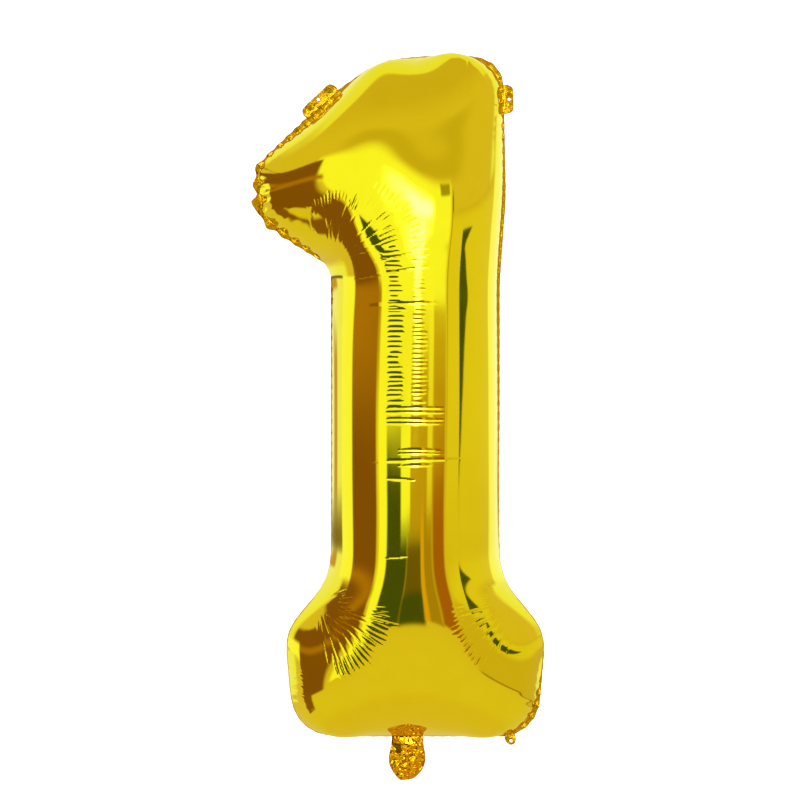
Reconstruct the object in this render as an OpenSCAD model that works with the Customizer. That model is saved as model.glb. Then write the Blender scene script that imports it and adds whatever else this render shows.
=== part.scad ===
// Foil balloon in the shape of the digit one. Two sheets of metallised film are sealed
// round their edge, with a self-closing film valve in the neck at the bottom and three
// hanging tabs on the edge. The sizes are those of the inflated balloon, in millimetres.
// The front faces -Y. The origin is the middle of the neck's root, on the bottom edge,
// where a ribbon is tied. Films are drawn thicker than they are, so that they are solids.

/* [Number] */
// Height of the inflated number without its neck
number_h = 873; // [800:1:950]
// Width of the upright stem, which is round in section
stem_w = 217; // [200:1:235]
// How far the middle of the stem lies to the right of the neck
stem_x = 10; // [0:1:20]
// Width across the shoulders of the base
base_w = 336; // [310:1:360]
// Height of the base's shoulders
base_h = 135; // [120:1:150]
// Width of the foot at the bottom edge
foot_w = 312; // [290:1:330]
// Height at which the base runs into the stem
waist_z = 205; // [190:1:220]
// How far the head stands out past the stem on the right
head_out = 8; // [0:1:15]

/* [Flag] */
// How far the flag's tip lies to the left of the stem's left side
flag_out = 103; // [85:1:115]
// Height of the corner under the flag
armpit_z = 602; // [580:1:620]
// Height of the lower corner of the flag's tip
flag_low_z = 664; // [650:1:675]
// Height of the upper corner of the flag's tip
flag_high_z = 731; // [715:1:745]
// How far the flag's slope starts to the right of the stem's left side, at the top
slope_in = 54; // [40:1:70]

/* [Seam and film] */
// Width of the sealed margin round the edge
seam_w = 5; // [4:0.5:8]
// Thickness of the sealed margin
seam_t = 1.4; // [1.2:0.1:2]
// Thickness of a foil sheet
film_t = 0.6; // [0.5:0.1:0.8]

/* [Neck] */
// Width of the neck
neck_w = 46; // [40:1:52]
// Length of the neck below the bottom edge
neck_l = 54; // [48:1:60]
// Width of the sealed margin down each side of the neck
neck_margin = 3; // [2:0.5:4]
// Half the depth of the neck's mouth
mouth_half = 5.5; // [5:0.5:6]

/* [Valve] */
// Width of the valve films
valve_w = 30; // [26:1:32]
// Thickness of a valve film
valve_t = 0.25; // [0.2:0.05:0.3]
// How far the valve reaches into the balloon above the bottom edge
tongue_l = 115; // [90:1:130]
// How far the valve's mouth lies inside the mouth of the neck
inlet_depth = 12; // [8:1:16]
// Half the depth of the valve's mouth
inlet_half = 3.6; // [3.2:0.1:3.8]

/* [Hanging tabs] */
// Radius of the punched hole in each tab
hole_r = 2; // [1.5:0.25:2.5]
// Length of the tab on the flag's slope, along the edge
slope_tab_l = 58; // [45:1:65]
// Length of the tab beside the head
head_tab_l = 40; // [30:1:44]
// Length of the tab under the foot
foot_tab_l = 17; // [15:1:20]
// How far the tabs stand out from the edge
tab_out = 12; // [11:1:14]

/* [Hidden] */

foil_colour = [0.87, 0.70, 0.08];
seam_colour = [0.72, 0.50, 0.06];
valve_colour = [0.88, 0.90, 0.92, 0.6];
print_colour = [0.95, 0.95, 0.95];

// Fineness of the rounded corners, in degrees, and of the film grids
arc_step = 9;
cap_rows = 13;
stem_rows = 40;
panel_cols = 26;
neck_rows = 12;
neck_cols = 14;
// Small step that keeps a grid's end rows just inside the outline
nudge = 0.01;

stem_l = stem_x - stem_w / 2;
stem_r = stem_x + stem_w / 2;
base_l = stem_x - base_w / 2;
base_r = stem_x + base_w / 2;
foot_half = foot_w / 2;
head_r = stem_r + head_out;
head_low = [head_r, armpit_z + 90];
head_top = [head_r - 4, number_h];
slope_top = [stem_l + slope_in, number_h];
slope_end = [stem_l - flag_out + 5, flag_high_z];

foot_round = 52;
shoulder_round = 35;
waist_round = 90;
head_round = 260;

// The edge of the sealed margin, anticlockwise from the foot's left corner, as
// [x, z, corner radius]
EDGE = [
    [stem_x - foot_half, 0, foot_round],
    [stem_x + foot_half, 0, foot_round],
    [base_r, base_h, shoulder_round],
    [stem_r, waist_z, waist_round],
    [stem_r, armpit_z - 20, head_round],
    [head_low[0], head_low[1], head_round],
    [head_top[0], head_top[1], 40],
    [slope_top[0], slope_top[1], 60],
    [slope_end[0], slope_end[1], 13],
    [stem_l - flag_out, flag_low_z, 18],
    [stem_l, armpit_z, 20],
    [stem_l, waist_z, waist_round],
    [base_l, base_h, shoulder_round]
];

function unit(v) = v / norm(v);
function flat(p) = [p[0], p[1]];
function side(a, b) = let (u = unit(b - a)) [-u[1], u[0]];
function turn(a, b, c) = sign(cross(b - a, c - b));

// A closed outline's corners with the neighbours that each one needs
function before(list, i) = flat(list[(i + len(list) - 1) % len(list)]);
function after(list, i) = flat(list[(i + 1) % len(list)]);

// The outline moved inwards by d, with its radii changed to suit
function inset(list, d) = [
    for (i = [0:len(list) - 1])
        let (a = before(list, i), b = flat(list[i]), c = after(list, i))
        let (m = side(a, b), n = side(b, c), p = b + d * (m + n) / (1 + m * n))
        [p[0], p[1], list[i][2] - turn(a, b, c) * d]
];

// The points of one rounded corner
function corner(a, b, c, r) =
    let (u = unit(a - b), v = unit(c - b), half = acos(u * v) / 2)
    let (centre = b + unit(u + v) * r / sin(half), start = b + u * r / tan(half) - centre)
    let (sweep = turn(a, b, c) * (180 - 2 * half), steps = ceil(abs(sweep) / arc_step))
    [for (k = [0:steps]) let (w = sweep * k / steps)
        centre + [start[0] * cos(w) - start[1] * sin(w), start[0] * sin(w) + start[1] * cos(w)]];

// The whole rounded outline as points
function outline(list) = [
    for (i = [0:len(list) - 1])
        each corner(before(list, i), flat(list[i]), after(list, i), list[i][2])
];

// Where the level z crosses the outline
function crossings(path, z) = [
    for (i = [0:len(path) - 1])
        let (p = path[i], q = path[(i + 1) % len(path)])
        if ((p[1] <= z) != (q[1] <= z)) p[0] + (q[0] - p[0]) * (z - p[1]) / (q[1] - p[1])
];

// Distance from p to the outline
function span(p, a, b) =
    let (s = b - a, t = max(0, min(1, (p - a) * s / (s * s)))) norm(p - a - t * s);
function distance(p, path) =
    min([for (i = [0:len(path) - 1]) span(p, path[i], path[(i + 1) % len(path)])]);

// Levels of a panel's rows, close together where the panel rounds over at top and bottom
function levels(d, r) =
    let (low = d + nudge, high = number_h - d - nudge)
    concat([for (i = [0:cap_rows]) low + r * (1 - cos(90 * i / cap_rows))],
           [for (i = [1:stem_rows]) low + r + (high - low - 2 * r) * i / stem_rows],
           [for (i = [1:cap_rows]) high - r * (1 - sin(90 * i / cap_rows))]);

// One skin of the front panel, d inside the edge: a grid of [x, y, z] whose depth is that
// of a quarter round of the stem's radius
function skin(d) =
    let (path = outline(inset(EDGE, d)), r = stem_w / 2 - d, zs = levels(d, r))
    [for (i = [0:len(zs) - 1])
        let (x = crossings(path, zs[i]), mid = (min(x) + max(x)) / 2, half = (max(x) - min(x)) / 2)
        [for (j = [0:panel_cols])
            let (px = mid - half * cos(180 * j / panel_cols))
            let (rim = i == 0 || i == len(zs) - 1 || j == 0 || j == panel_cols)
            let (deep = rim ? 0 : min(r, distance([px, zs[i]], path)))
            [px, -seam_t / 2 - sqrt(r * r - (r - deep) * (r - deep)), zs[i]]]];

// A closed sheet between an outer and an inner skin of the same grid, outer towards -Y
module sheet(outer, inner) {
    rows = len(outer);
    cols = len(outer[0]);
    count = rows * cols;
    points = concat([for (row = outer) each row], [for (row = inner) each row]);
    function at(i, j) = i * cols + j;
    function quad(a, b, c, d) = [[a, b, c], [a, c, d]];
    faces = [
        for (j = [0:cols - 2])
            each concat(quad(at(0, j), at(0, j + 1), count + at(0, j + 1), count + at(0, j)),
                        quad(at(rows - 1, j + 1), at(rows - 1, j),
                             count + at(rows - 1, j), count + at(rows - 1, j + 1))),
        for (i = [0:rows - 2])
            each concat(quad(at(i + 1, 0), at(i, 0), count + at(i, 0), count + at(i + 1, 0)),
                        quad(at(i, cols - 1), at(i + 1, cols - 1),
                             count + at(i + 1, cols - 1), count + at(i, cols - 1))),
        for (i = [rows - 2:-1:0]) for (j = [cols - 2:-1:0])
            each concat(quad(count + at(i, j), count + at(i, j + 1),
                             count + at(i + 1, j + 1), count + at(i + 1, j)),
                        quad(at(i, j), at(i + 1, j), at(i + 1, j + 1), at(i, j + 1)))
    ];
    polyhedron(points, faces);
}

// A flat shape drawn in X and Z, stood up in the plane of the seam
module upright(from_y, to_y) {
    translate([0, to_y, 0]) rotate([90, 0, 0]) linear_extrude(to_y - from_y) children();
}

module panel() {
    sheet(skin(seam_w), skin(seam_w + film_t));
}

module front_foil_panel() {
    color(foil_colour) panel();
}

module back_foil_panel() {
    color(foil_colour) mirror([0, 1, 0]) panel();
}

// The welded margin, open at the bottom where the valve passes through it
module edge_seam() {
    color(seam_colour) upright(-seam_t / 2, seam_t / 2) difference() {
        polygon(outline(EDGE));
        polygon(outline(inset(EDGE, seam_w + film_t)));
        translate([-valve_w / 2, -1]) square([valve_w, seam_w + film_t + 2]);
    }
}

// The neck starts a little below the edge, so that it can fold up against the foot
neck_top = 1.5;
neck_root_half = 0.9;
neck_film_t = 0.5;
neck_round = 11;

// How far a neck or valve film stands out at x and at the share v of the neck's length
function bulge(x, half_w, root, mouth, v) =
    (root + (mouth - root) * v * (2 - v)) * max(0, 1 - pow(x / half_w, 2));

// One skin of a film in the neck, t outside its inner face
function neck_skin(half_w, flat_w, length, round_r, root, mouth, base, t) = [
    for (i = [0:neck_rows]) [
        for (j = [0:neck_cols])
            let (x = half_w * (2 * j / neck_cols - 1), v = 1 - i / neck_rows)
            let (end = length - round_r * (1 - sqrt(1 - pow(x / half_w, 4))))
            let (z = -neck_top - v * (end - neck_top))
            [x, -base - t - bulge(x, flat_w, root, mouth, v), z]]];

module neck_ply() {
    half_w = neck_w / 2;
    flat_w = half_w - neck_margin;
    sheet(neck_skin(half_w, flat_w, neck_l, neck_round, neck_root_half, mouth_half, 0, neck_film_t),
          neck_skin(half_w, flat_w, neck_l, neck_round, neck_root_half, mouth_half, 0, 0));
}

module neck_front_ply() {
    color(foil_colour) neck_ply();
}

module neck_back_ply() {
    color(foil_colour) mirror([0, 1, 0]) neck_ply();
}

// The part of a valve film that lines the neck, clear of the other film
film_gap = 0.05;

module inlet_film() {
    half_w = valve_w / 2;
    length = neck_l - inlet_depth;
    sheet(neck_skin(half_w, half_w, length, 0, 0, inlet_half, film_gap, valve_t),
          neck_skin(half_w, half_w, length, 0, 0, inlet_half, film_gap, 0));
}

module valve_inlet_front_film() {
    color(valve_colour) inlet_film();
}

module valve_inlet_back_film() {
    color(valve_colour) mirror([0, 1, 0]) inlet_film();
}

// Where the bottom seam crosses the valve, both films are welded to the foil, and a
// printed release layer between them keeps the channel from welding shut
print_t = 0.2;
root_top = seam_w + film_t / 2;
root_h = root_top - 0.3;
print_margin = 3;

module root_film() {
    upright(-seam_t / 2, -print_t / 2)
        translate([-valve_w / 2, 0]) square([valve_w, root_h]);
}

module valve_root_front_film() {
    color(valve_colour) root_film();
}

module valve_root_back_film() {
    color(valve_colour) mirror([0, 1, 0]) root_film();
}

module valve_release_print() {
    color(print_colour) upright(-print_t / 2, print_t / 2)
        translate([print_margin - valve_w / 2, 0]) square([valve_w - 2 * print_margin, root_h]);
}

// The free ends of the valve films inside the balloon, which gas pressure shuts
tongue_gap = 0.15;

module tongue_film() {
    half_w = valve_w / 2;
    upright(-tongue_gap - valve_t, -tongue_gap)
        polygon(outline([[-half_w, root_top, 0.5], [half_w, root_top, 0.5],
                         [half_w, tongue_l, 6], [-half_w, tongue_l, 6]]));
}

module valve_tongue_front_film() {
    color(valve_colour) tongue_film();
}

module valve_tongue_back_film() {
    color(valve_colour) mirror([0, 1, 0]) tongue_film();
}

// A tab stands 1 mm off the edge, so that it can bend over it, and narrows outwards
tab_gap = 1;
tab_taper = 4;

module tab(length, place, angle) {
    half = length / 2;
    upright(-seam_t / 2, seam_t / 2) translate(place) rotate(angle) difference() {
        polygon(outline([[-half, tab_gap, 0.5], [half, tab_gap, 0.5],
                         [half - tab_taper, tab_out, 4], [tab_taper - half, tab_out, 4]]));
        translate([0, (tab_out + tab_gap) / 2]) circle(hole_r, $fn = 48);
    }
}

// A little above the middle of the straight slope above the flag
slope_share = 0.43;
slope_dir = slope_end - slope_top;

module slope_hanging_tab() {
    color(seam_colour) tab(slope_tab_l, slope_top + slope_share * slope_dir,
                           atan2(slope_dir[1], slope_dir[0]) + 180);
}

// High on the nearly upright right side of the head
head_share = 0.69;
head_dir = head_top - head_low;

module head_hanging_tab() {
    color(seam_colour) tab(head_tab_l, head_low + head_share * head_dir,
                           atan2(head_dir[1], head_dir[0]) + 180);
}

// Round the foot's right corner by a few degrees
foot_angle = 14;
foot_side = atan2(base_h, base_r - stem_x - foot_half);
foot_centre = [stem_x + foot_half - foot_round * tan(foot_side / 2), foot_round];

module foot_hanging_tab() {
    color(seam_colour) tab(foot_tab_l,
                           foot_centre + foot_round * [sin(foot_angle), -cos(foot_angle)],
                           180 + foot_angle);
}

front_foil_panel();
back_foil_panel();
edge_seam();
neck_front_ply();
neck_back_ply();
valve_inlet_front_film();
valve_inlet_back_film();
valve_root_front_film();
valve_root_back_film();
valve_release_print();
valve_tongue_front_film();
valve_tongue_back_film();
slope_hanging_tab();
head_hanging_tab();
foot_hanging_tab();
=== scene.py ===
"""Foil number balloon, digit one: the visual model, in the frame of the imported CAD."""
import math

import bpy
import numpy as np
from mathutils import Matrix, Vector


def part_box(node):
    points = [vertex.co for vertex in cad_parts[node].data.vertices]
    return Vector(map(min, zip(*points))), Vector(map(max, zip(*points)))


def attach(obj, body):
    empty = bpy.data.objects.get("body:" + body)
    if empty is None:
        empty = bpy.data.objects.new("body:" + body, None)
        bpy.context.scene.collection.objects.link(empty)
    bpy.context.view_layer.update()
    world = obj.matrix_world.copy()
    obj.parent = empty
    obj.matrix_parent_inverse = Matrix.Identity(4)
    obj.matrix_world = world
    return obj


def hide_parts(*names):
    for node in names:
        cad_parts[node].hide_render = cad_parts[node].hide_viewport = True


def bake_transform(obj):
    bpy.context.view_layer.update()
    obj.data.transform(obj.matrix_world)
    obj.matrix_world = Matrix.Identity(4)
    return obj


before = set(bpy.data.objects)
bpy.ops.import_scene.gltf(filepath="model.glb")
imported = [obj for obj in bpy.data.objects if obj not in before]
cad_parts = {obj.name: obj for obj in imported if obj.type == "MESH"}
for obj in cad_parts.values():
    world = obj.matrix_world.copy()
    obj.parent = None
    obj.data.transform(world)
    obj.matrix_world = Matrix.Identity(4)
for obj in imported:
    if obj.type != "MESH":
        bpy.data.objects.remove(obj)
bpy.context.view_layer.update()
MM = 0.001


# ---------------------------------------------------------------- outline of the welded edge
def loops_of(node):
    """The closed outlines of a flat extruded piece, seen from the front, in mm."""
    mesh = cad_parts[node].data
    co = np.array([v.co for v in mesh.vertices]) / MM
    key = [(round(p[0], 2), round(p[2], 2)) for p in co]
    wall, flat = set(), set()
    for face in mesh.polygons:
        ring = list(face.vertices)
        for a, b in zip(ring, ring[1:] + ring[:1]):
            if co[a, 1] > 0 and co[b, 1] > 0 and key[a] != key[b]:
                (flat if abs(face.normal.y) > 0.5 else wall).add(frozenset((key[a], key[b])))
    near = {}
    for a, b in wall & flat:
        near.setdefault(a, set()).add(b)
        near.setdefault(b, set()).add(a)
    loops, left = [], set(near)
    while left:
        start = min(left)
        path = [start, min(near[start])]
        while path[-1] != start:
            path.append((near[path[-1]] - {path[-2]}).pop())
        left -= set(path)
        loops.append(anticlockwise(np.array(path[:-1])))
    return sorted(loops, key=len)


def anticlockwise(path):
    q = np.roll(path, -1, axis=0)
    return path if (path[:, 0] * q[:, 1] - path[:, 1] * q[:, 0]).sum() > 0 else path[::-1]


def outside(path):
    """The outer run of the welded band, which is open at the neck."""
    nxt = np.roll(path, -1, axis=0)
    upright = abs(path - nxt)[:, 0] < 0.5
    at_neck = (abs(path[:, 0]) < 40) & (path[:, 1] + nxt[:, 1] < 12)
    ends = np.nonzero(upright & at_neck)[0]
    path = np.roll(path, -(ends[0] + 1), axis=0)
    cut = (ends[1] - ends[0]) % len(path)
    return anticlockwise(min(path[:cut], path[cut:], key=lambda p: p[0, 1] + p[-1, 1]))


def even(path, step):
    """A closed path with its points spaced evenly."""
    ring = np.vstack([path, path[:1]])
    s = np.r_[0, np.cumsum(np.linalg.norm(np.diff(ring, axis=0), axis=1))]
    n = int(round(s[-1] / step))
    t = np.arange(n) * s[-1] / n
    return np.c_[np.interp(t, s, ring[:, 0]), np.interp(t, s, ring[:, 1])]


def ring_smooth(a, passes):
    for _ in range(passes):
        a = 0.5 * a + 0.25 * (np.roll(a, 1, axis=0) + np.roll(a, -1, axis=0))
    return a


def inward(path):
    t = np.roll(path, -1, axis=0) - np.roll(path, 1, axis=0)
    t /= np.linalg.norm(t, axis=1)[:, None]
    return np.c_[-t[:, 1], t[:, 0]]


RIM_STEP = 1.5  # between points along the edge
EDGE = ring_smooth(even(outside(loops_of("edge_seam")[-1]), RIM_STEP), 6)
EDGE_IN = ring_smooth(inward(EDGE), 12)
FLAG_TIP = EDGE[np.argmin(EDGE[:, 0])]
TOP = EDGE[:, 1].max()


def hump(d, r):
    return np.exp(-(d / r) ** 2)


def spot(p, x, z, r):
    return hump(np.linalg.norm(p - [x, z], axis=1), r)


SLOPE_MID = FLAG_TIP + [75, 112]


def margin(p):
    """How far the foil tube stays inside the welded edge: the weld shows where it is ruffled."""
    m = 1.6 + 12 * spot(p, *FLAG_TIP, 42) + 7 * spot(p, *SLOPE_MID, 40)
    m += 1.2 * spot(p, 124, 650, 110) + 0.8 * spot(p, 118, 450, 200)
    m += 4 * spot(p, 113, TOP - 9, 22) + 7 * spot(p, -45, TOP - 8, 45) + 2 * spot(p, -100, TOP - 60, 40)
    return m + 3 * spot(p, -150, 610, 55) + 2.5 * spot(p, 165, 30, 45)


SEAM = ring_smooth(EDGE + EDGE_IN * margin(EDGE)[:, None], 10)
SEAM_IN = ring_smooth(inward(SEAM), 4)

# ---------------------------------------------------------------- flat pattern and inflation
STEM_X = 10
FOOT_Z, TOP_Z = -32, 900
# corners of the flat sheet: across, up, corner radius; the tube pulls in to its inflated width
PATTERN = [
    [STEM_X - 170, FOOT_Z, 85],
    [STEM_X + 170, FOOT_Z, 85],
    [STEM_X + 195, 115, 60],
    [STEM_X + 156, 205, 95],
    [STEM_X + 156, 580, 200],
    [STEM_X + 160, 690, 200],
    [160, TOP_Z, 90],
    [-30, TOP_Z, 110],
    [-210, 770, 40],
    [-230, 695, 40],
    [STEM_X - 156, 595, 20],
    [STEM_X - 156, 205, 95],
    [STEM_X - 195, 115, 60],
]


def rounded(corners):
    out, n = [], len(corners)
    for i in range(n):
        a, b, c = [np.array(corners[k % n][:2], float) for k in (i - 1, i, i + 1)]
        u, v = (a - b) / np.linalg.norm(a - b), (c - b) / np.linalg.norm(c - b)
        half = math.acos(np.clip(u @ v, -1, 1)) / 2
        r = corners[i][2]
        cen = b + (u + v) / np.linalg.norm(u + v) * r / math.sin(half)
        st = b + u * r / math.tan(half) - cen
        side = math.copysign(1, (b - a)[0] * (c - b)[1] - (b - a)[1] * (c - b)[0])
        for w in np.linspace(0, side * (math.pi - 2 * half), 18):
            out.append(cen + [st[0] * math.cos(w) - st[1] * math.sin(w),
                              st[0] * math.sin(w) + st[1] * math.cos(w)])
    return np.array(out)


def flat_grid(corners, dz, cols, cap=60.0):
    """Rows of points across the flat sheet, closer together towards its two ends."""
    p = rounded(corners)
    q = np.roll(p, -1, axis=0)
    lo, hi = p[:, 1].min() + 1e-3, p[:, 1].max() - 1e-3
    n = int(round(cap * math.pi / 2 / dz))
    ends = cap * (1 - np.cos(np.linspace(0, math.pi / 2, n + 1)))
    k = int(round((hi - lo - 2 * cap) / dz))
    mid = lo + cap + (hi - lo - 2 * cap) * np.arange(1, k) / k
    rows = []
    for z in np.concatenate([lo + ends, mid, hi - ends[::-1]]):
        m = (p[:, 1] <= z) != (q[:, 1] <= z)
        x = p[m, 0] + (q[m, 0] - p[m, 0]) * (z - p[m, 1]) / (q[m, 1] - p[m, 1])
        rows.append(np.c_[np.linspace(x.min(), x.max(), cols + 1), np.full(cols + 1, z)])
    return np.array(rows)


def links(g):
    """Threads of the sheet: along, across and both diagonals, in sets that share no point."""
    r, c = g.shape[:2]
    out = []
    for k in (0, 1):
        i0, i1, j0, j1 = slice(k, r - 1, 2), slice(k + 1, r, 2), slice(k, c - 1, 2), slice(k + 1, c, 2)
        every, left, right = slice(None), slice(0, c - 1), slice(1, c)
        for a, b in (((every, j0), (every, j1)), ((i0, every), (i1, every)),
                     ((i0, left), (i1, right)), ((i0, right), (i1, left))):
            out.append((a, b, np.linalg.norm(g[a] - g[b], axis=-1)))
    return out


def quad_sum(q, shape):
    out = np.zeros(shape)
    for a in (slice(0, -1), slice(1, None)):
        for b in (slice(0, -1), slice(1, None)):
            out[a, b] += q
    return out


def inflate(g, steps, push=0.004, keep=0.988):
    """Blow the sheet up: it can't stretch, and gives way freely where it would be squeezed."""
    p = np.zeros(g.shape[:2] + (3,))
    p[..., 0], p[..., 2] = g[..., 0], g[..., 1]
    r, c = g.shape[:2]
    bulge = np.sin(math.pi * np.linspace(0, 1, c))[None, :]
    ends = np.minimum(1, np.sin(math.pi * np.linspace(0, 1, r)) * 4)[:, None]
    p[..., 1] = -20 * bulge * ends
    cons = links(g)
    d1, d2 = g[1:, 1:] - g[:-1, :-1], g[:-1, 1:] - g[1:, :-1]
    area = quad_sum(np.abs(d1[..., 0] * d2[..., 1] - d1[..., 1] * d2[..., 0]) / 8, g.shape[:2])
    area = np.maximum(area, area.mean() * 0.3)[..., None]
    vel = np.zeros_like(p)
    for k in range(steps):
        old = p.copy()
        d1, d2 = p[1:, 1:] - p[:-1, :-1], p[:-1, 1:] - p[1:, :-1]
        vel += push * quad_sum(-np.cross(d1, d2) / 8, p.shape) / area
        p += vel
        for a, b, length in (cons if k % 2 else cons[::-1]):
            pa, pb = p[a], p[b]
            d = pb - pa
            n = np.sqrt((d * d).sum(-1))
            d *= (0.5 * np.maximum(n - length, 0) / np.maximum(n, 1e-9))[..., None]
            p[a], p[b] = pa + d, pb - d
        p[0, :, 1] = p[-1, :, 1] = 0
        p[:, 0, 1] = p[:, -1, 1] = 0
        np.minimum(p[..., 1], 0, out=p[..., 1])
        vel = (p - old) * keep
    return p


def rim(p):
    """The four sides of a grid as one loop, anticlockwise from the front."""
    return np.vstack([p[0, :-1], p[:-1, -1], p[-1, :0:-1], p[:0:-1, 0]])


def nearest(path, pts):
    d = ((pts[:, None, :] - path[None, :, :]) ** 2).sum(-1)
    return d.argmin(1)


def settle(p):
    """Turn and shift the inflated sheet onto the seam, then draw its rim exactly onto it."""
    loop = rim(p)[:, [0, 2]]
    mid, shift, turn = np.array([STEM_X, 430.0]), np.zeros(2), 0.0
    for _ in range(15):
        c, s = math.cos(turn), math.sin(turn)
        q = (loop - mid) @ np.array([[c, s], [-s, c]]) + mid + shift
        k = nearest(SEAM, q)
        n = SEAM_IN[k]
        e = ((q - SEAM[k]) * n).sum(1)
        arm = q - mid
        jac = np.c_[n, -arm[:, 1] * n[:, 0] + arm[:, 0] * n[:, 1]]
        w = 1 / (1 + np.abs(e) / 10)
        d = np.linalg.lstsq(jac * w[:, None], -e * w, rcond=None)[0]
        shift, turn = shift + d[:2] * 0.8, turn + d[2] * 0.8
    c, s = math.cos(turn), math.sin(turn)
    p = p.copy()
    p[..., [0, 2]] = (p[..., [0, 2]] - mid) @ np.array([[c, s], [-s, c]]) + mid + shift
    loop = rim(p)[:, [0, 2]]
    k = nearest(SEAM, loop).astype(float)
    n = len(SEAM)
    k = np.unwrap(k * 2 * math.pi / n) * n / (2 * math.pi)
    k = np.maximum.accumulate(k)
    for _ in range(3):
        k[1:-1] = 0.5 * k[1:-1] + 0.25 * (k[2:] + k[:-2])
    both = np.vstack([SEAM, SEAM, SEAM])
    k = (k - n * math.floor(k[0] / n))
    goal = np.c_[np.interp(k, np.arange(3 * n), both[:, 0]), np.interp(k, np.arange(3 * n), both[:, 1])]
    ctrl = goal.copy()
    for _ in range(6):
        ctrl += goal - (np.roll(ctrl, 1, axis=0) + 4 * ctrl + np.roll(ctrl, -1, axis=0)) / 6
    move = ctrl - loop
    r, c = p.shape[:2]
    f = np.zeros((r, c, 2))
    f[0, :-1], f[:-1, -1] = move[:c - 1], move[c - 1:c + r - 2]
    f[-1, :0:-1], f[:0:-1, 0] = move[c + r - 2:2 * c + r - 3], move[2 * c + r - 3:]
    for _ in range(600):
        f[1:-1, 1:-1] = 0.25 * (f[2:, 1:-1] + f[:-2, 1:-1] + f[1:-1, 2:] + f[1:-1, :-2])
    p[..., [0, 2]] += f
    return p


def grid_smooth(p, passes):
    for _ in range(passes):
        q = p.copy()
        q[1:-1] = 0.5 * p[1:-1] + 0.25 * (p[2:] + p[:-2])
        p = q.copy()
        p[:, 1:-1] = 0.5 * q[:, 1:-1] + 0.25 * (q[:, 2:] + q[:, :-2])
        p[0], p[-1] = q[0], q[-1]
        p[:, 0], p[:, -1] = q[:, 0], q[:, -1]
        p[0, :, 1] = p[-1, :, 1] = p[:, 0, 1] = p[:, -1, 1] = 0
    return p


def ease(v, lo, hi):
    t = np.clip((v - lo) / (hi - lo), 0, 1)
    return t * t * (3 - 2 * t)


SET_BACK = 5.0  # how far the film above the inner corner is set back, so that it leans up


def straighten(p):
    """Carry the stem's tube straight up past the inner corner before it widens into the head."""
    row = abs(p[:, 12, 2] - 545).argmin()
    from_right = p[:, -1:, 0] - p[..., 0]
    goal = np.interp(from_right, from_right[row, ::-1], p[row, ::-1, 1])
    x, z = p[..., 0], p[..., 2]
    p = p.copy()
    p[..., 1] += ease(z, 540, 575) * (1 - ease(z, 630, 770)) * ease(x, -70, 10) * (goal - p[..., 1])
    above = ease(z, 592, 705) * (1 - ease(z, 740, 860))
    beside = ease(x, -120, -50) * (1 - ease(x, -15, 80))
    p[..., 1] += SET_BACK * above * beside
    return p


FLAT = flat_grid(PATTERN, 14, 24)
FILM = straighten(grid_smooth(settle(inflate(FLAT, 1500)), 2))


def spline(ctrl, w, u):
    """A smooth surface over a grid of points, at row w and column u, and its two slopes."""
    g = np.concatenate([2 * ctrl[:1] - ctrl[1:2], ctrl, 2 * ctrl[-1:] - ctrl[-2:-1]])
    g = np.concatenate([2 * g[:, :1] - g[:, 1:2], g, 2 * g[:, -1:] - g[:, -2:-1]], axis=1)

    def basis(t):
        second, third = 3 * t ** 3 - 6 * t ** 2 + 4, -3 * t ** 3 + 3 * t ** 2 + 3 * t + 1
        return np.array([(1 - t) ** 3, second, third, t ** 3]) / 6

    def slope(t):
        return np.array([-(1 - t) ** 2, 3 * t ** 2 - 4 * t, -3 * t ** 2 + 2 * t + 1, t ** 2]) / 2

    i = np.clip(np.floor(w).astype(int), 0, ctrl.shape[0] - 2)
    j = np.clip(np.floor(u).astype(int), 0, ctrl.shape[1] - 2)
    bi, bj, si, sj = basis(w - i), basis(u - j), slope(w - i), slope(u - j)
    p = np.zeros(w.shape + (ctrl.shape[2],))
    pw, pu = p.copy(), p.copy()
    for a in range(4):
        for b in range(4):
            v = g[i + a, j + b]
            p += v * (bi[a] * bj[b])[..., None]
            pw += v * (si[a] * bj[b])[..., None]
            pu += v * (bi[a] * sj[b])[..., None]
    return p, pw, pu


def film_rim():
    """The line where the foil tube really meets the weld."""
    last_row, last_col = FILM.shape[0] - 1.0, FILM.shape[1] - 1.0
    u, w = np.linspace(0, last_col, 400), np.linspace(0, last_row, 1200)
    sides = [(0 * u, u), (w, 0 * w + last_col), (0 * u + last_row, u[::-1]), (w[::-1], 0 * w)]
    pts = np.vstack([spline(FILM, a, b)[0][:-1] for a, b in sides])[:, [0, 2]]
    return even(pts, RIM_STEP)


RIM = film_rim()
RIM_IN = ring_smooth(inward(RIM), 4)


# ---------------------------------------------------------------- creases
ARMPIT = np.array([-98.0, 604.0])
WAIST_L = np.array([-113.0, 177.0])
WAIST_R = np.array([135.0, 182.0])
TOP_TICKS = (10, 78)
# single lines across the stem: height, left end, right end, rise, depth
STEM_LINES = (
    (590, -68, 22, 14, 0.3), (609, -42, 10, 13, 0.25), (551, -50, 36, 2, 0.3),
    (544, -28, 0, 1, 0.25), (421, -28, 46, 0, 0.3), (416, -28, 46, -1, 0.25),
    (407, -28, 46, -2, 0.3), (402, -28, 44, -1, 0.2), (369, -10, 42, -2, 0.3),
    (365, -12, 42, 0, 0.2), (356, -44, 66, 3, 0.34), (350, -10, 30, 1, 0.2),
    (333, -34, 10, -3, 0.2), (236, -30, 0, 3, 0.15),
)


def crease(a, b, width, depth, bend=0.0):
    a, b = np.array(a, float), np.array(b, float)
    d = b - a
    mid = (a + b) / 2 + bend * np.array([-d[1], d[0]])
    return (a, mid, b, width, depth)


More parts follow.
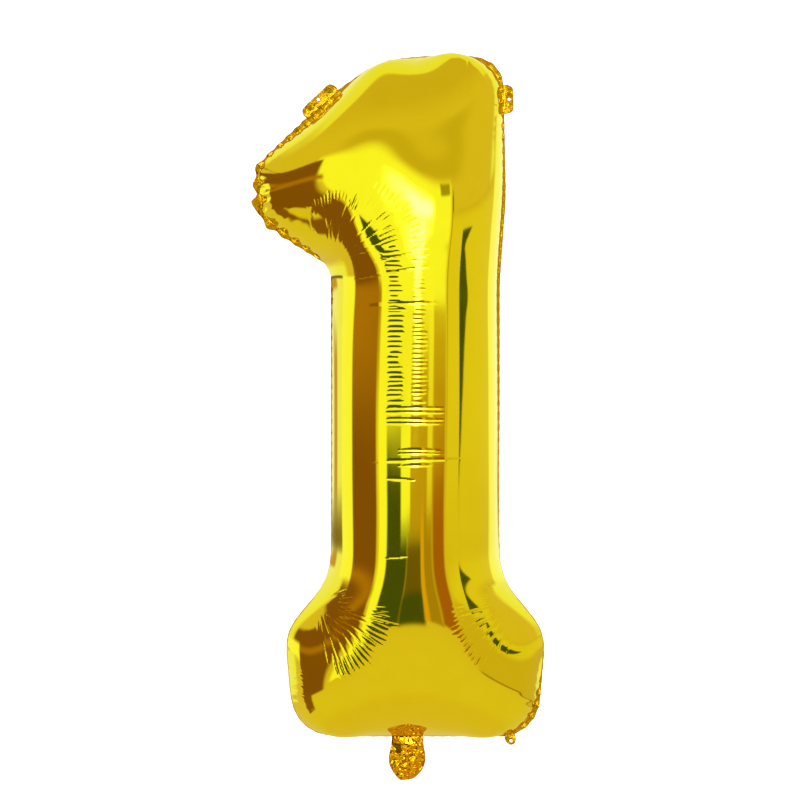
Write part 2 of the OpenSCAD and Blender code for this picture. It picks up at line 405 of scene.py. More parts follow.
def fan(centre, angles, r0, r1, width, depth, seed, wobble=0.25, bend=0.03):
    """Short creases that point at a corner."""
    r = np.random.default_rng(seed)
    out = []
    for k, ang in enumerate(angles):
        t = math.radians(ang)
        n = len(angles) - 1 or 1
        ra = r0[0] + (r0[1] - r0[0]) * k / n
        rb = r1[0] + (r1[1] - r1[0]) * k / n
        span = rb - ra
        ra += span * r.uniform(-wobble, wobble)
        rb += span * r.uniform(-wobble, wobble)
        d = np.array([math.cos(t), math.sin(t)])
        out.append(crease(centre + d * ra, centre + d * rb, width * r.uniform(0.8, 1.2),
                          depth * r.uniform(0.6, 1.2), r.uniform(-bend, bend)))
    return out


def stack(x0, x1, z0, z1, pitch, width, depth, seed, tilt=0.0, wobble=0.2):
    """Short creases straight across the tube, one above another."""
    r = np.random.default_rng(seed)
    out, z = [], z0
    while z < z1:
        f = (z - z0) / (z1 - z0)
        xa = x0[0] + (x0[1] - x0[0]) * f
        xb = x1[0] + (x1[1] - x1[0]) * f
        s = xb - xa
        xa, xb = xa + s * r.uniform(-wobble, wobble), xb + s * r.uniform(-wobble, wobble)
        rise = s * tilt + r.uniform(-0.3, 0.3)
        out.append(crease((xa, z - rise / 2), (xb, z + rise / 2), width * r.uniform(0.8, 1.2),
                          depth * r.uniform(0.5, 1.2), r.uniform(-0.02, 0.02)))
        z += pitch * r.uniform(0.85, 1.15)
    return out


def creases(seed):
    """Every crease of one panel: fans at the three inner corners, and lines across the stem."""
    out = []
    out += fan(ARMPIT, np.arange(112, 72, -3.0), (62, 84), (78, 100), 1.4, 0.20, seed)
    out += fan(ARMPIT, np.arange(71, 36, -3.8), (74, 76), (96, 98), 1.6, 0.36, seed + 1)
    out += fan(ARMPIT, np.arange(34, -10, -4.3), (72, 68), (92, 90), 1.6, 0.36, seed + 2)
    out += fan(ARMPIT, np.arange(58, -6, -3.6), (104, 104), (120, 126), 1.4, 0.12, seed + 3)
    long_ones = [128, 112, 97, 84, 72, 60, 44, 33, 20, 8]
    out += fan(ARMPIT, long_ones, (24, 16), (66, 84), 1.3, 0.26, seed + 4, 0.12, 0.07)
    out += stack((-27, -26), (-8, -8), 416, 596, 6.2, 1.5, 0.26, seed + 5)
    out += stack((4, 6), (22, 22), 424, 640, 5.4, 1.4, 0.10, seed + 6)
    for z, xa, xb, tilt, deep in STEM_LINES:
        out.append(crease((xa, z - tilt / 2), (xb, z + tilt / 2), 1.3, deep, 0.01))
    out += fan(WAIST_L, np.arange(-2, -74, -4.2), (66, 72), (90, 104), 1.5, 0.34, seed + 7, 0.2)
    long_ones = [-14, -24, -34, -44, -52, -61, -70, -80]
    out += fan(WAIST_L, long_ones, (30, 18), (98, 80), 1.4, 0.32, seed + 8, 0.12, 0.06)
    out += fan(WAIST_L, np.arange(24, -92, -5.0), (20, 22), (40, 46), 1.3, 0.18, seed + 9, 0.3)
    out += fan(WAIST_R, np.arange(186, 250, 4.4), (62, 66), (84, 96), 1.4, 0.2, seed + 10, 0.2)
    long_ones = [196, 208, 218, 228, 240, 252, 262]
    out += fan(WAIST_R, long_ones, (28, 18), (88, 72), 1.3, 0.16, seed + 11, 0.12, 0.05)
    out += fan(WAIST_R, np.arange(160, 262, 5.0), (20, 22), (40, 46), 1.3, 0.1, seed + 12, 0.3)
    out += stack((-146, -144), (-132, -130), 42, 88, 4.8, 1.3, 0.25, seed + 13, -0.3)
    for x in TOP_TICKS:
        out.append(crease((x, TOP - 2), (x - 2, TOP - 26), 1.6, 0.7))
        out.append(crease((x - 1, TOP - 20), (x - 4, TOP - 62), 2.2, 0.12))
    out.append(crease((98, TOP - 66), (122, TOP - 68), 1.6, 0.2))
    return out


def crease_depth(p, folds):
    """Depth of all the creases at points given as across and up."""
    h = np.zeros(len(p))
    for a, m, b, width, depth in folds:
        lo = np.minimum(np.minimum(a, b), m) - 3 * width
        hi = np.maximum(np.maximum(a, b), m) + 3 * width
        k = np.nonzero((p[:, 0] > lo[0]) & (p[:, 0] < hi[0]) & (p[:, 1] > lo[1]) & (p[:, 1] < hi[1]))[0]
        if not len(k):
            continue
        q, d = p[k] - a, b - a
        size = np.linalg.norm(d)
        t = q @ d / size ** 2
        side = (q[:, 1] * d[0] - q[:, 0] * d[1]) / size
        sag = ((m - (a + b) / 2) @ np.array([-d[1], d[0]]) / size) * 4 * t * (1 - t)
        s = np.clip(t, 0, 1)
        fade = np.where((t > 0) & (t < 1), np.sin(math.pi * s) ** 0.7, 0)
        w = width * (0.55 + 0.45 * fade)
        v = (side - sag) / w
        h[k] += depth * fade * np.exp(-v * v)
    return h


def nearest_many(path, p):
    """The nearest point of a long path, for many points."""
    out = np.zeros(len(p), int)
    for i in range(0, len(p), 20000):
        q = p[i:i + 20000]
        k = ((q[:, None, :] - path[None, ::4]) ** 2).sum(-1).argmin(1) * 4
        near = [(k + o) % len(path) for o in range(-4, 5)]
        d = np.array([((q - path[kk]) ** 2).sum(1) for kk in near])
        out[i:i + 20000] = np.array(near)[d.argmin(0), np.arange(len(q))]
    return out


def ruffle_maker(k, seed):
    """Puckers that run in from the weld; k is each point's place on the rim."""
    r = np.random.default_rng(seed)
    n = len(RIM)
    phase = np.cumsum(ring_smooth(r.uniform(0.4, 1.6, n), 12)) * RIM_STEP * 2 * math.pi / 13
    size = 0.9 * spot(RIM, *FLAG_TIP, 55) + 0.5 * spot(RIM, -140, 20, 60) + 0.5 * spot(RIM, 160, 20, 60)
    size += 0.3 * spot(RIM, 110, 850, 60)
    tangent = np.c_[RIM_IN[:, 1], -RIM_IN[:, 0]][k]

    def height(q):
        away = q - RIM[k]
        along = (away * tangent).sum(1)
        d = np.maximum((away * RIM_IN[k]).sum(1), 0)
        rate = (phase[(k + 1) % n] - phase[k]) % (2 * math.pi) / RIM_STEP
        return size[k] * np.sin(phase[k] + rate * along) * np.exp(-d / 8) * np.minimum(1, d / 2.5)

    return height


# ---------------------------------------------------------------- meshes
def new_object(name, verts, faces, normals=None):
    mesh = bpy.data.meshes.new(name)
    verts = np.asarray(verts, float) * MM
    mesh.vertices.add(len(verts))
    mesh.vertices.foreach_set("co", verts.ravel())
    flat = np.concatenate([np.ravel(f) for f in faces]) if isinstance(faces, list) else faces.ravel()
    size = [len(f) for f in faces] if isinstance(faces, list) else [faces.shape[1]] * len(faces)
    mesh.loops.add(len(flat))
    mesh.loops.foreach_set("vertex_index", flat.astype(np.int32))
    mesh.polygons.add(len(size))
    mesh.polygons.foreach_set("loop_start", np.r_[0, np.cumsum(size)[:-1]].astype(np.int32))
    mesh.polygons.foreach_set("use_smooth", np.ones(len(size), bool))
    mesh.update(calc_edges=True)
    mesh.validate()
    if normals is not None:
        mesh.normals_split_custom_set_from_vertices(np.asarray(normals).tolist())
    obj = bpy.data.objects.new(name, mesh)
    bpy.context.collection.objects.link(obj)
    return obj


def strip_faces(rows):
    """Triangles between rows of points that may differ in number; each row is (start, places)."""
    tris = []
    for (sa, ua), (sb, ub) in zip(rows, rows[1:]):
        i = j = 0
        na, nb = len(ua) - 1, len(ub) - 1
        while i < na or j < nb:
            if j >= nb or (i < na and ua[i + 1] <= ub[j + 1]):
                tris.append((sa + i, sa + i + 1, sb + j))
                i += 1
            else:
                tris.append((sa + i, sb + j + 1, sb + j))
                j += 1
    return np.array(tris)


def zone(x, z):
    """Where creases need a close mesh: 0 to 1."""
    places = [(ARMPIT, 128, 20), (WAIST_L, 96, 20), (WAIST_R, 96, 20), ((-138, 65), 26, 10)]
    m = np.clip((28 - abs(z - TOP + 16)) / 10, 0, 1)  # the band of ticks along the top
    for centre, reach, soft in places:
        away = np.hypot(x - centre[0], z - centre[1])
        m = np.maximum(m, np.clip((reach + soft - away) / soft, 0, 1))
    return m


FINE, COARSE = 1.7, 4.6  # mesh spacing among the creases and elsewhere
ROW_STEP = 1.5


def mesh_points():
    """Rows up the film and places across it, close together where the creases are."""
    r, c = FILM.shape[:2]
    rows_fine = np.linspace(0, r - 1, 1200)
    mid, _, _ = spline(FILM, rows_fine, np.full(1200, (c - 1) * 0.45))
    s = np.r_[0, np.cumsum(np.linalg.norm(np.diff(mid, axis=0), axis=1))]
    w = np.interp(np.linspace(0, s[-1], int(s[-1] / ROW_STEP)), s, rows_fine)
    rows, us, ws, start = [], [], [], 0
    u = np.linspace(0, c - 1, 240)
    for wi in w:
        p, _, _ = spline(FILM, np.full(240, wi), u)
        d = np.linalg.norm(np.diff(p, axis=0), axis=1)
        m = zone((p[1:, 0] + p[:-1, 0]) / 2, (p[1:, 2] + p[:-1, 2]) / 2)
        density = 1 / (COARSE * (1 - m) + FINE * m)
        cum = np.r_[0, np.cumsum(d * density)]
        k = max(24, int(round(cum[-1])))
        uu = np.interp(np.linspace(0, cum[-1], k + 1), cum, u)
        rows.append((start, uu))
        us.append(uu)
        ws.append(np.full(k + 1, wi))
        start += k + 1
    return rows, np.concatenate(ws), np.concatenate(us)


def panel(name, side, seed):
    """One foil sheet with its creases and puckers, in the mesh and in its normals."""
    folds = creases(seed)
    rows, w, u = mesh_points()
    p, pw, pu = spline(FILM, w, u)
    normal = np.cross(pu, pw)
    normal /= np.maximum(np.linalg.norm(normal, axis=1), 1e-9)[:, None]
    tris = strip_faces(rows)
    flat = p[:, [0, 2]]
    at = nearest_many(RIM, flat)
    by_rim = np.exp(p[:, 1] / 15)
    out = np.c_[-RIM_IN[at, 0] * by_rim, by_rim - 1, -RIM_IN[at, 1] * by_rim]
    normal *= np.where((normal * out).sum(1) < 0, -1, 1)[:, None]

    puckers = ruffle_maker(at, seed)

    def height(q):
        return puckers(q) - crease_depth(q, folds)

    e = 0.35
    h = height(flat)
    gx = (height(flat + [e, 0]) - height(flat - [e, 0])) / (2 * e)
    gz = (height(flat + [0, e]) - height(flat - [0, e])) / (2 * e)
    edge = np.minimum(1, -p[:, 1] / 4)
    grad = np.c_[gx, np.zeros(len(gx)), gz] * edge[:, None]
    grad -= normal * (grad * normal).sum(1)[:, None]
    p = p + normal * (h * edge)[:, None]
    normal = normal - grad
    normal /= np.linalg.norm(normal, axis=1)[:, None]
    p[:, 1] = np.minimum(p[:, 1], 0)
    if side > 0:
        p[:, 1] *= -1
        normal[:, 1] *= -1
        tris = tris[:, ::-1]
    obj = new_object(name, p, tris, normal)
    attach(obj, "envelope")
    return obj


front = panel("front_foil", -1, 11)
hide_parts("front_foil_panel")
back = panel("back_foil", 1, 51)
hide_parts("back_foil_panel")


# ---------------------------------------------------------------- welded edge
def double(grid, half, closed=False, drop=None):
    """Both faces and the rims of a thin sheet given as a grid of points."""
    m, n = grid.shape[:2]
    v = np.vstack([(grid - [0, half, 0]).reshape(-1, 3), (grid + [0, half, 0]).reshape(-1, 3)])
    last = n if closed else n - 1
    i = np.arange(last)
    if drop is not None:
        i = i[~drop[:last]]
    j = (i + 1) % n
    far, f = m * n, []
    for k in range(m - 1):
        a, b = k * n, (k + 1) * n
        f += [np.c_[b + i, a + i, a + j, b + j], np.c_[far + a + i, far + b + i, far + b + j, far + a + j]]
    a = (m - 1) * n
    f += [np.c_[far + a + i, a + i, a + j, far + a + j], np.c_[i, far + i, far + j, j]]
    if not closed:
        k = np.arange(m - 1) * n
        f.append(np.c_[k, k + n, far + k + n, far + k])
        f.append(np.c_[k + n - 1, far + k + n - 1, far + k + 2 * n - 1, k + 2 * n - 1])
    return v, np.vstack(f)


def whole_waves(speed, pitch):
    """The phase of waves along the rim, of about this pitch, that close up after one turn."""
    phase = np.cumsum(speed) * RIM_STEP * 2 * math.pi / pitch
    return phase * round(phase[-1] / (2 * math.pi)) * 2 * math.pi / phase[-1]


def flange():
    """The welded margin: it curls back behind the tube, and stands out in scallops where it is loose."""
    r = np.random.default_rng(5)
    n = len(RIM)
    k = np.unwrap(nearest(EDGE, RIM) * 2 * math.pi / len(EDGE)) * len(EDGE) / (2 * math.pi)
    k = np.maximum.accumulate(k)
    turn = np.arange(n) * (k[-1] - k[0]) / n
    k = ring_smooth(k - turn, 8) + turn
    ring = np.vstack([EDGE, EDGE, EDGE])
    kk = k - math.floor(k[0] / len(EDGE)) * len(EDGE)
    outer = np.stack([np.interp(kk, np.arange(len(ring)), ring[:, i]) for i in (0, 1)], axis=1)
    away = np.linalg.norm(outer - RIM, axis=1)
    tip = spot(RIM, *FLAG_TIP, 62)
    phase = whole_waves(ring_smooth(r.uniform(0.5, 1.5, n), 14) / (1 + 0.8 * tip), 15)
    fine = whole_waves(ring_smooth(r.uniform(0.4, 1.6, n), 5), 5.5)
    slope = spot(RIM, *SLOPE_MID, 45)
    loose = spot(RIM, 124, 810, 45) + 0.7 * spot(RIM, -150, 615, 55) + spot(RIM, 165, 30, 40)
    shown = np.clip(1.3 * (tip + slope + loose) + 0.8 * spot(RIM, 122, 640, 150), 0, 1)
    reach = np.minimum(away, 1.6 + 12 * shown)
    outer = RIM + (outer - RIM) * (reach / np.maximum(away, 1e-6))[:, None]
    inner = RIM + RIM_IN * 0.8
    size = 0.4 + 5.0 * tip + 2.2 * slope + 1.6 * loose
    curl = 3.5 * (1 - shown)
    rows = []
    for t in np.linspace(0, 1, 9):
        y = size * t ** 1.2 * np.sin(phase) + 0.4 * t * np.sin(fine) * (1 + tip + slope) + curl * t ** 1.5
        pull = 1 - (0.08 + 0.5 * tip) * t * (1 - np.cos(phase + 0.7)) / 2
        p = inner + (outer - inner) * (t * pull)[:, None]
        rows.append(np.c_[p[:, 0], y, p[:, 1]])
    drop = (abs(RIM[:, 0]) < 20) & (RIM[:, 1] < 12)
    v, f = double(np.array(rows), 0.1, closed=True, drop=drop)
    obj = new_object("welded_edge", v, f)
    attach(obj, "envelope")
    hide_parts("edge_seam")
    return obj


seam = flange()


# ---------------------------------------------------------------- hanging tabs
def folded(x, z, scale, seed, count=7):
    """Sharp random folds, as in a crushed sheet: about -1 to 1."""
    r = np.random.default_rng(seed)
    h, total = np.zeros(np.shape(x)), 0.0
    for k in range(count):
        a, f = r.uniform(0, math.pi), (0.5 + 0.3 * k) / scale
        across, along = x * math.cos(a) + z * math.sin(a), z * math.cos(a) - x * math.sin(a)
        s = across * f + r.uniform() + 0.3 * np.sin(2 * math.pi * (along * f * 0.5 + r.uniform()))
        share = 1 / (1 + 0.6 * k)
        h = h + share * (4 * abs(s - np.floor(s) - 0.5) - 1)
        total += share
    return 1.6 * h / total


def tab(node, name, seed, swing):
    """A flat tab of film with a punched hole, crumpled along its free edge."""
    hole, rim = loops_of(node)[0], even(loops_of(node)[-1], 0.5)
    centre, reach = hole.mean(0), np.linalg.norm(hole - hole.mean(0), axis=1).mean()
    out = -EDGE_IN[nearest(EDGE, centre[None])[0]]
    base = ((rim - centre) @ out).min()
    away = (rim - centre) @ out - base
    rim = rim - out * (3.4 * np.clip(1 - away / 1.5, 0, 1))[:, None]
    rim = ring_smooth(rim, 60)
    d = rim - centre
    d /= np.linalg.norm(d, axis=1)[:, None]
    start = centre + d * reach
    rows = []
    along = np.array([out[1], -out[0]])
    for t in np.linspace(0, 1, 16):
        p = start + (rim - start) * t
        s, h = (p - centre) @ along, (p - centre) @ out - base
        free = np.clip(h / 8, 0, 1)
        wave = swing * np.sin(s / 4.1 + 1.2 * np.sin(s / 7 + seed))
        y = free * (wave + 0.9 * folded(p[:, 0], p[:, 1], 7, seed))
        rows.append(np.c_[p[:, 0], y, p[:, 1]])
    v, f = double(np.array(rows), 0.1, closed=True)
    obj = new_object(name, v, f)
    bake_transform(obj)
    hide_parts(node)
    return obj


tabs = [tab("slope_hanging_tab", "slope_tab_film", 3, 1.6),
        tab("head_hanging_tab", "head_tab_film", 8, 1.8),
        tab("foot_hanging_tab", "foot_tab_film", 12, 1.0)]


# ---------------------------------------------------------------- neck and valve
def box_mm(node):
    return np.array(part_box(node)) / MM


def neck_ply(node, name, side, seed):
    """One crumpled sheet of the neck, gathered where it leaves the weld and loose at the mouth."""
    lo, hi = box_mm(node)
    half, low = (hi[0] - lo[0]) / 2, -lo[2]
    u, t = np.meshgrid(np.linspace(-1, 1, 90), np.linspace(0, 1, 100))
    z = 3.0 - t * (low + 3.0)
    down = np.clip(-z / low, 0, 1)
    width = half * (0.87 + 0.12 * np.sin(math.pi * np.clip(down * 1.1, 0, 1)))
    width *= np.sqrt(np.clip(1 - np.clip((down - 0.6) / 0.43, 0, 1) ** 2.4, 0.12, 1))
    x = u * width - 1.0 * down + 0.8 * np.sin(z / 6) * u
    z = z + 5.0 * np.clip(down - 0.8, 0, 1) * u
    open_by = 0.5 + (4.4 * down ** 0.8) * (1 - u * u) ** 0.6
    fold = folded(x, z, 19, seed) * 2.8 + folded(x * 1.3, z, 11, seed + 1, 4) * 0.7
    root = np.exp(-(down / 0.1) ** 2)
    pleat = 0.8 * np.sin(u * 21 + np.sin(u * 9)) * root * np.clip(-z / 2, 0, 1)
    grow = np.clip(down / 0.15, 0, 1) * (1 - 0.75 * abs(u) ** 5)
    room = 0.35 + 1.4 * np.clip(down / 0.15, 0, 1) * np.clip(1 - (x / 17) ** 2, 0, 1)
    y = side * np.maximum(open_by + grow * fold + pleat, room)
    v, f = double(np.stack([x, y, z], -1), 0.08)
    obj = new_object(name, v, f)
    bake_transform(obj)
    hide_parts(node)
    return obj


neck = [neck_ply("neck_front_ply", "neck_front_foil", -1, 21),
        neck_ply("neck_back_ply", "neck_back_foil", 1, 31)]


def valve(node, name, side, gap0, gap1, wave, seed):
    """One soft clear film of the valve, gap0 from the middle at its top and gap1 at its bottom."""
    lo, hi = box_mm(node)
    u, t = np.meshgrid(np.linspace(-1, 1, 24), np.linspace(0, 1, 60))
    z = hi[2] + (lo[2] - hi[2]) * t
    half = (hi[0] - lo[0]) / 2
    end = np.clip((z - 100) / 15, 0, 1)
    x = u * (half - 1.2 * end ** 2)
    y = gap0 + (gap1 - gap0) * t * (1 - 0.9 * u * u)
    y = y + wave * (1 + folded(x, z, 30, seed, 3)) * np.sin(math.pi * t) * (1 - u * u)
    v, f = double(np.stack([x, side * y, z], -1), 0.04)
    obj = new_object(name, v, f)
    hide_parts(node)
    return obj


films = []
for side, word, body in ((-1, "front", "valve_front"), (1, "back", "valve_back")):
    inlet = valve(f"valve_inlet_{word}_film", f"valve_inlet_{word}", side, 0.12, 1.0, 0.0, 41)
    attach(inlet, "neck")
    root = valve(f"valve_root_{word}_film", f"valve_root_{word}", side, 0.2, 0.2, 0.0, 42)
    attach(root, "envelope")
    tongue = valve(f"valve_tongue_{word}_film", f"valve_tongue_{word}", side, 0.3, 0.2, 0.25, 43)
    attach(tongue, body)
    films += [inlet, root, tongue]


def printed_layer():
    """The release layer printed between the two films, which keeps the weld from closing the valve."""
    lo, hi = box_mm("valve_release_print")
    u, t = np.meshgrid(np.linspace(lo[0], hi[0], 40), np.linspace(lo[2], hi[2], 12))
    y = 0.02 * np.sin(u * 2.1) * np.sin(t * 1.7)
    v, f = double(np.stack([u, y, t], -1), 0.05)
    obj = new_object("release_print_layer", v, f)
    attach(obj, "envelope")
    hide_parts("valve_release_print")
    return obj


release = printed_layer()


# ---------------------------------------------------------------- materials
def material(name, colour, metallic, roughness, bump, grain, tint):
    """A film that drifts between two tints, with a fine unevenness of gloss and surface; where there is a
    bump, the darker tint falls in its hollows, as painted shade.
    """
    mat = bpy.data.materials.new(name)
    mat.use_nodes = True
    nt = mat.node_tree
    nt.nodes.clear()
    out = nt.nodes.new("ShaderNodeOutputMaterial")
    bsdf = nt.nodes.new("ShaderNodeBsdfPrincipled")
    nt.links.new(bsdf.outputs["BSDF"], out.inputs["Surface"])
    coord = nt.nodes.new("ShaderNodeTexCoord")
    noise = nt.nodes.new("ShaderNodeTexNoise")
    noise.inputs["Scale"].default_value = grain
    noise.inputs["Detail"].default_value = 4
    nt.links.new(coord.outputs["Object"], noise.inputs["Vector"])
    # low noise takes the tint and, where a bump is set, is also the low ground of the bump: painted shade in
    # the hollows
    ramp = nt.nodes.new("ShaderNodeValToRGB")
    ramp.color_ramp.elements[0].position = 0.3
    ramp.color_ramp.elements[1].position = 0.7
    ramp.color_ramp.elements[0].color = tuple(tint) + (1,)
    ramp.color_ramp.elements[1].color = tuple(colour) + (1,)
    nt.links.new(noise.outputs["Fac"], ramp.inputs["Fac"])
    nt.links.new(ramp.outputs["Color"], bsdf.inputs["Base Color"])
    bsdf.inputs["Metallic"].default_value = metallic
    rough = nt.nodes.new("ShaderNodeMapRange")
    rough.inputs["To Min"].default_value = roughness * 0.7
    rough.inputs["To Max"].default_value = roughness * 1.3
    nt.links.new(noise.outputs["Fac"], rough.inputs["Value"])
    nt.links.new(rough.outputs["Result"], bsdf.inputs["Roughness"])
    if bump:
        b = nt.nodes.new("ShaderNodeBump")
        b.inputs["Strength"].default_value = bump
        b.inputs["Distance"].default_value = 0.001
        nt.links.new(noise.outputs["Fac"], b.inputs["Height"])
        nt.links.new(b.outputs["Normal"], bsdf.inputs["Normal"])
    return mat


GOLD = (0.92, 0.82, 0.014)
gold = material("gold_foil", GOLD, 1.0, 0.05, 0.0, 45, tint=(0.905, 0.8, 0.012))
# the neck is the same gold film as the panels: its darker, more orange colours are painted shade and painted
# double reflection of the crinkled film
neck_crinkle_shade_gold = material("neck_foil_painted_shade", (0.9, 0.56, 0.003), 1.0, 0.13, 0.25, 110, tint=(0.7, 0.26, 0.003))
# the welded edge and the tabs are the same gold film: their darker, more orange colours are painted shade and
# painted double reflection of the crinkled film
seam_crinkle_shade_mat = material("seam_foil", (0.85, 0.56, 0.004), 1.0, 0.2, 0.5, 500, tint=(0.5, 0.24, 0.004))
clear = material("valve_film", (0.9, 0.92, 0.94), 0.0, 0.15, 0.2, 200, tint=(0.86, 0.88, 0.9))
clear.node_tree.nodes["Principled BSDF"].inputs["Transmission Weight"].default_value = 0.6
clear.node_tree.nodes["Principled BSDF"].inputs["Alpha"].default_value = 0.6
matt = material("release_print", (0.93, 0.93, 0.93), 0.0, 0.8, 0.3, 900, tint=(0.85, 0.85, 0.85))
worn = (([front, back], gold), (neck, neck_crinkle_shade_gold), ([seam] + tabs, seam_crinkle_shade_mat),
        (films, clear), ([release], matt))
for objs, mat in worn:
    for obj in objs:
        obj.data.materials.append(mat)


# ---------------------------------------------------------------- light, stage, camera
def build_world():
    """The studio that the foil mirrors: pale walls, a soft box in front and dark furniture beside it."""
    world = bpy.data.worlds.new("studio")
    bpy.context.scene.world = world
    world.use_nodes = True
    nt = world.node_tree
    nt.nodes.clear()

    def node(kind, **props):
        nd = nt.nodes.new(kind)
        for k, v in props.items():
            setattr(nd, k, v)
        return nd

    def math_node(op, a, b=None):
        nd = node("ShaderNodeMath", operation=op)
        for i, v in enumerate((a, b)):
            if v is None:
                continue
            if isinstance(v, (int, float)):
                nd.inputs[i].default_value = v
            else:
                nt.links.new(v, nd.inputs[i])
        return nd.outputs[0]

    coord = node("ShaderNodeTexCoord")
    sep = node("ShaderNodeSeparateXYZ")
    nt.links.new(coord.outputs["Generated"], sep.inputs[0])
    x, y, z = sep.outputs
    az = math_node("MULTIPLY", math_node("ARCTAN2", x, math_node("MULTIPLY", y, -1.0)), 180 / math.pi)
    el = math_node("MULTIPLY", math_node("ARCSINE", z), 180 / math.pi)

    def rise(value, at, soft):
        nd = node("ShaderNodeMapRange", interpolation_type="SMOOTHSTEP")
        nt.links.new(value, nd.inputs["Value"])
        nd.inputs["From Min"].default_value = at - soft
        nd.inputs["From Max"].default_value = at + soft
        return nd.outputs["Result"]

    def between(value, lo, hi, soft):
        return math_node("MULTIPLY", rise(value, lo, soft), math_node("SUBTRACT", 1.0, rise(value, hi, soft)))

    colour = node("ShaderNodeRGB")
    colour.outputs[0].default_value = (0.74, 0.58, 0.5, 1)
    state = [colour.outputs[0]]

    def paint(mask, rgb):
        mix = node("ShaderNodeMix", data_type="RGBA")
        nt.links.new(mask, mix.inputs["Factor"])
        nt.links.new(state[0], mix.inputs["A"])
        mix.inputs["B"].default_value = tuple(rgb) + (1,)
        state[0] = mix.outputs["Result"]

    def card(lo, hi, bottom, top, rgb, soft=1.5, soft_el=1.5):
        """A panel seen from the balloon between these degrees, to the right of the front and up."""
        paint(math_node("MULTIPLY", between(az, lo, hi, soft), between(el, bottom, top, soft_el)), rgb)

    bright, orange = (1.05, 1.1, 1.0), (0.52, 0.24, 0.1)
    olive, white = (0.065, 0.085, 0.05), (9.0, 9.0, 30.0)
    # ceiling, floor and the far wall behind the object
    paint(rise(el, 48, 14), (0.66, 0.5, 0.4))
    paint(between(el, -60, -26, 9), (0.76, 0.63, 0.5))
    paint(math_node("MULTIPLY", rise(y, 0.4, 0.07), rise(el, -16, 5)), (0.95, 0.98, 0.8))
    paint(math_node("MULTIPLY", rise(y, 0.1, 0.05), rise(el, 40, 5)), (0.9, 0.9, 0.7))
    card(-40, 60, 23, 31, (0.62, 0.48, 0.3), 15, 3)
    # wide soft box in front, with its hot middle
    card(-62, 41, -0.6, 22, bright, 3, 3)
    card(-12, 12, 9.5, 14.5, white, 5, 3)
    card(-4, 3, 1.0, 9, (4.0, 4.0, 16.0), 1.5, 2)
    card(25, 39, 17.5, 22, (0.4, 0.32, 0.2), 1.5, 0.8)
    # dark furniture to the left, reaching down to the floor
    card(-99, -57, -27, 20, (0.23, 0.09, 0.05), 2, 1.2)
    card(-98, -76, -41, -24, (0.25, 0.1, 0.05), 3, 2)
    card(-112, -97, 8, 20, (0.23, 0.09, 0.05), 2, 2)
    card(-99, -53, 0.8, 5.5, (0.43, 0.19, 0.08), 1.5, 2.5)
    # what stands below the soft box
    card(-53, -41, -23, 1, bright, 1.5, 1)
    card(-41, -12, -22, -0.3, olive, 1.5, 0.6)
    card(-21, -7.5, -2.6, 0.2, bright, 1.5, 0.8)
    card(-12, 8, -22.5, -2.6, (0.16, 0.11, 0.06), 2, 1.2)
    card(-12, 8, -22.5, -11, olive, 2, 2)
    card(-7.5, 16, -2.8, 0.0, (0.55, 0.36, 0.15), 1.5, 0.5)
    card(8, 12, -21, -2.2, (0.8, 0.4, 0.1), 1, 1)
    card(12, 25, -21, -2.2, (0.42, 0.25, 0.1), 1.5, 1)
    card(23, 41, -20, 1.2, (0.6, 0.42, 0.2), 1.5, 1.5)
    card(25, 41, -20, -1.2, (0.4, 0.13, 0.06), 2, 1)
    card(42.8, 45.2, -1, 18, (0.25, 0.2, 0.1), 0.5, 3)
    # to the right: a long pale wall with one dark pole
    card(44, 128, -23.5, 9, (0.66, 0.5, 0.35), 1.5, 1)
    card(44, 124, -3.2, 7.5, (0.8, 0.68, 0.4), 2, 2.5)
    card(44, 129, -24.5, -23.3, (0.34, 0.2, 0.1), 2, 0.4)
    lean = math_node("SUBTRACT", az, math_node("MULTIPLY", el, 3.6))
    pole = math_node("MULTIPLY", rise(az, 63, 0.8), math_node("SUBTRACT", 1.0, rise(lean, 71, 1.2)))
    paint(math_node("MULTIPLY", pole, between(el, -2.5, 2.8, 0.4)), olive)
    card(124, 157, -4, 9, bright, 2, 3)
    card(157, 179, -14, -1.2, orange, 2, 1)
    # and to the left, past the furniture
    card(-124, -99, -4.5, 6, bright, 2, 1.5)
    card(-152, -139, -2.8, 2, (0.6, 0.35, 0.12), 3, 1)
    card(-160, -124, -5, -2.6, (0.22, 0.15, 0.06), 2, 0.8)
    card(-180, -163, 0, 8, white, 4, 2)
    ray = node("ShaderNodeLightPath")
    last = node("ShaderNodeMix", data_type="RGBA")
    nt.links.new(ray.outputs["Is Camera Ray"], last.inputs["Factor"])
    nt.links.new(state[0], last.inputs["A"])
    last.inputs["B"].default_value = (1, 1, 1, 1)
    back_node = node("ShaderNodeBackground")
    nt.links.new(last.outputs["Result"], back_node.inputs["Color"])
    out = node("ShaderNodeOutputWorld")
    nt.links.new(back_node.outputs[0], out.inputs["Surface"])


build_world()


def build_stage():
    """A pale floor that curves up into a pale wall."""
    floor_z = -180
    radius, reach, tall = 900, 5200, 4200
    line = [(-reach, floor_z), (reach - radius, floor_z)]
    for k in range(1, 13):
        a = math.pi / 2 * k / 12
        line.append((reach - radius + radius * math.sin(a), floor_z + radius - radius * math.cos(a)))
    line.append((reach, tall))
    v = [(x, y, z) for y, z in line for x in (-6500, 6500)]
    f = [np.array([2 * i, 2 * i + 1, 2 * i + 3, 2 * i + 2]) for i in range(len(line) - 1)]
    obj = new_object("studio_sweep", v, f)
    mat = bpy.data.materials.new("sweep")
    mat.use_nodes = True
    nt = mat.node_tree
    bsdf = nt.nodes["Principled BSDF"]
    bsdf.inputs["Base Color"].default_value = (0.8, 0.8, 0.8, 1)
    bsdf.inputs["Roughness"].default_value = 1.0
    bsdf.inputs["Emission Color"].default_value = (1, 1, 1, 1)
    bsdf.inputs["Emission Strength"].default_value = 0.9
    obj.data.materials.append(mat)
    obj.visible_glossy = False
    obj.visible_diffuse = False
    return obj


sweep = build_stage()

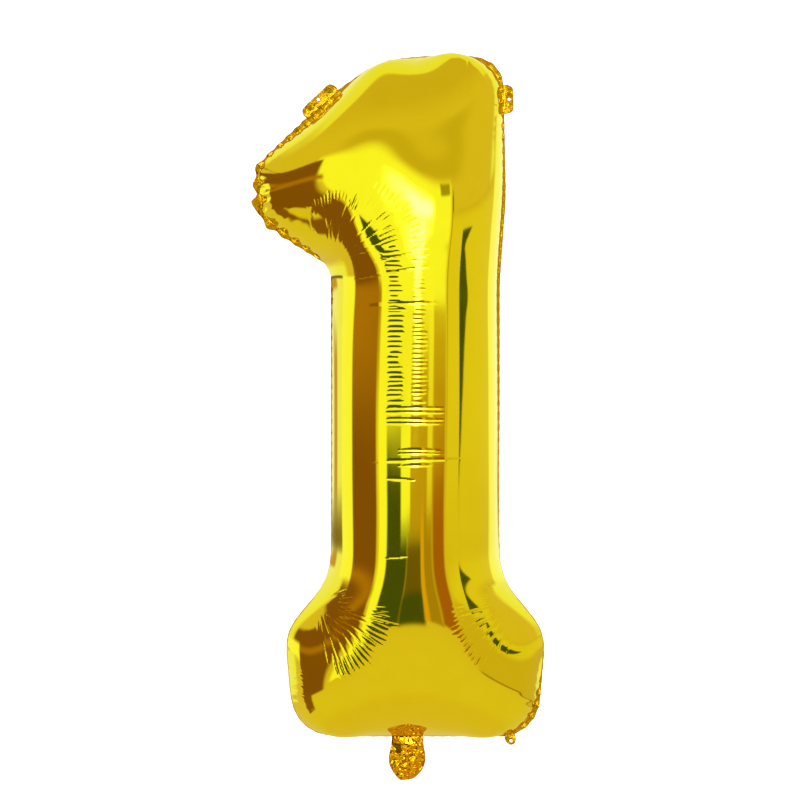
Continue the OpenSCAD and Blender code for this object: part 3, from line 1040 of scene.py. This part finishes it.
cam = bpy.data.cameras.new("camera")
cam.angle = 2 * math.atan(0.5124 / 3.2)
cam.clip_end = 50
eye = bpy.data.objects.new("camera", cam)
bpy.context.collection.objects.link(eye)
eye.location = (-0.0096, -3.2, 0.4317)
eye.rotation_euler = (math.pi / 2, 0, 0)
bpy.context.scene.camera = eye
bpy.context.scene.view_settings.view_transform = "Standard"
